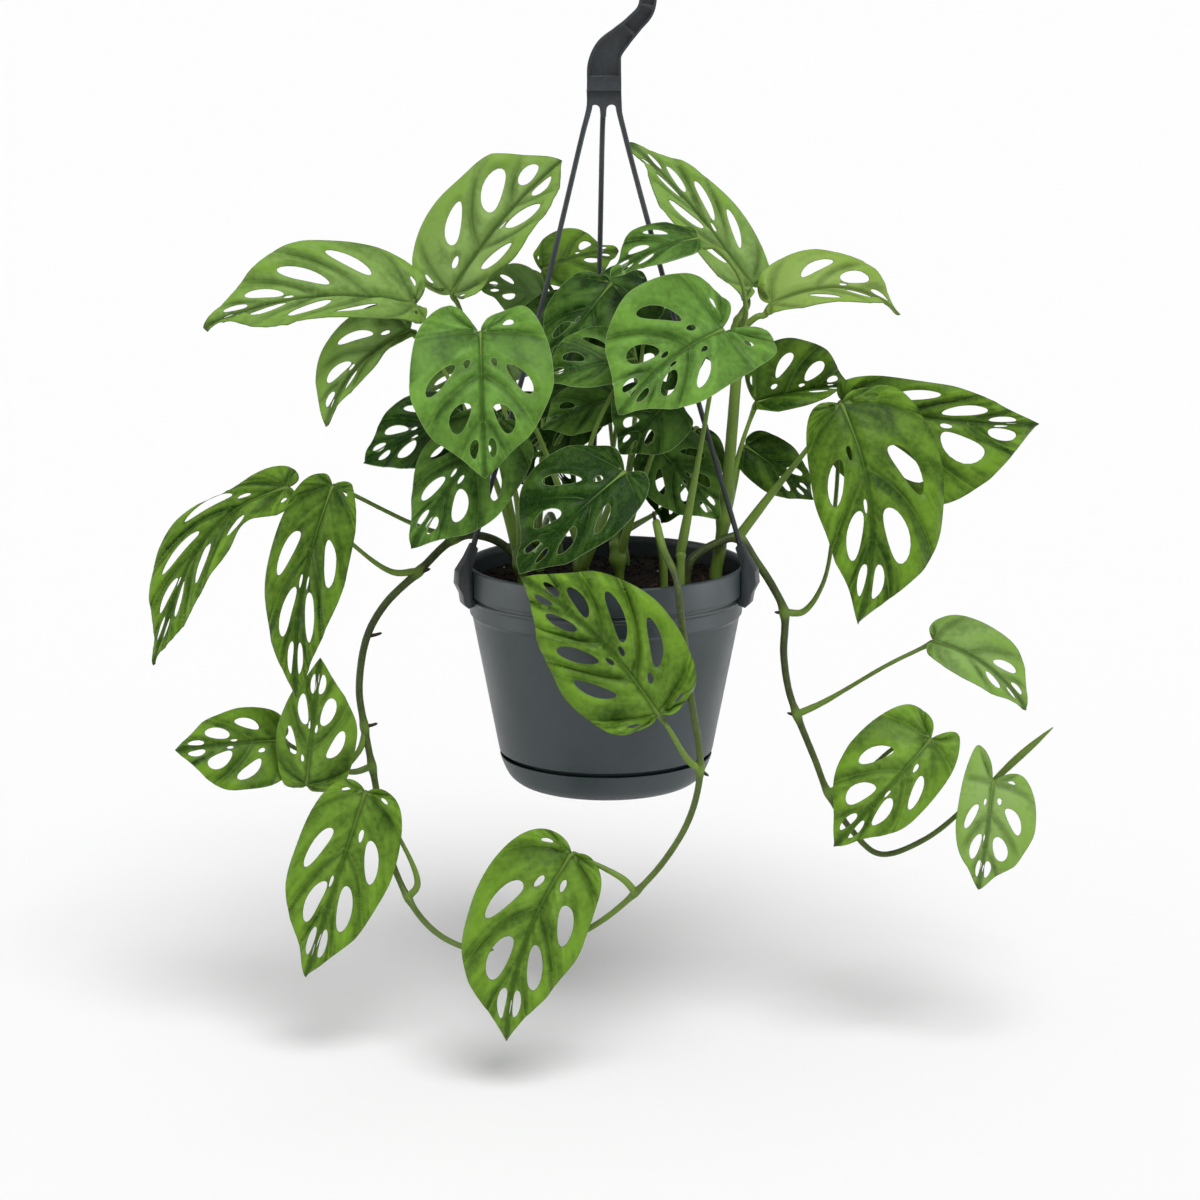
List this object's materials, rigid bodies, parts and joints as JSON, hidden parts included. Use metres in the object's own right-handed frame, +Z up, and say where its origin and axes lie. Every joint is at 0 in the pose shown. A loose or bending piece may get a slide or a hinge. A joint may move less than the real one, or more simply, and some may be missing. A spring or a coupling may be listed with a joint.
{
  "type": "potted hanging monstera",
  "caption": "Monstera adansonii with holed heart-shaped leaves, an upright crown and trailing vines, in a tapered plastic pot with a clip-on saucer and a three-strand hook hanger.",
  "frame": {"origin": "inside of the hook's crown, where a rail or hook would carry it", "axes": "+Z up along the hanger, -Y towards the front of the plant, +X to its right as seen from the front"},
  "size_m": [0.5384, 0.2664, 0.647],
  "materials": {
    "pot_plastic": "satin slate grey",
    "hanger_plastic": "satin charcoal",
    "peat": "damp crumbly peat and bark",
    "vine_green": "smooth brownish green",
    "stalk_green": "smooth yellow-green",
    "leaf_green": "semi-gloss leaf"
  },
  "bodies": {
    "root": {"pot": "pot_plastic", "saucer": "pot_plastic", "potting_soil": "peat", "hanger": "hanger_plastic", "vine_left": "vine_green", "vine_front": "vine_green", "vine_right": "vine_green", "vine_back": "vine_green", "shoot_left": "stalk_green", "shoot_left_back": "stalk_green", "shoot_middle": "stalk_green", "shoot_centre": "stalk_green", "shoot_right_front": "stalk_green", "shoot_right": "stalk_green", "shoot_back": "stalk_green", "leaf_left_1": "leaf_green", "leaf_left_2": "leaf_green", "leaf_left_3": "leaf_green", "leaf_left_4": "leaf_green", "leaf_left_5": "leaf_green", "leaf_front_1": "leaf_green", "leaf_front_2": "leaf_green", "leaf_right_1": "leaf_green", "leaf_right_2": "leaf_green", "leaf_right_3": "leaf_green", "leaf_right_4": "leaf_green", "leaf_right_5": "leaf_green", "leaf_crown_01": "leaf_green", "leaf_crown_02": "leaf_green", "leaf_crown_03": "leaf_green", "leaf_crown_04": "leaf_green", "leaf_crown_05": "leaf_green", "leaf_crown_06": "leaf_green", "leaf_crown_07": "leaf_green", "leaf_crown_08": "leaf_green", "leaf_crown_09": "leaf_green", "leaf_crown_10": "leaf_green", "leaf_crown_11": "leaf_green", "leaf_crown_12": "leaf_green", "leaf_crown_13": "leaf_green", "leaf_crown_14": "leaf_green", "leaf_crown_15": "leaf_green", "leaf_crown_16": "leaf_green", "leaf_crown_17": "leaf_green", "leaf_crown_18": "leaf_green", "leaf_crown_19": "leaf_green", "leaf_crown_20": "leaf_green", "leaf_crown_21": "leaf_green", "leaf_crown_22": "leaf_green", "leaf_crown_23": "leaf_green", "leaf_crown_24": "leaf_green", "leaf_back_1": "leaf_green", "leaf_back_2": "leaf_green", "leaf_back_3": "leaf_green", "leaf_back_4": "leaf_green", "leaf_back_5": "leaf_green", "leaf_back_6": "leaf_green", "leaf_back_7": "leaf_green"}
  },
  "joints": []
}
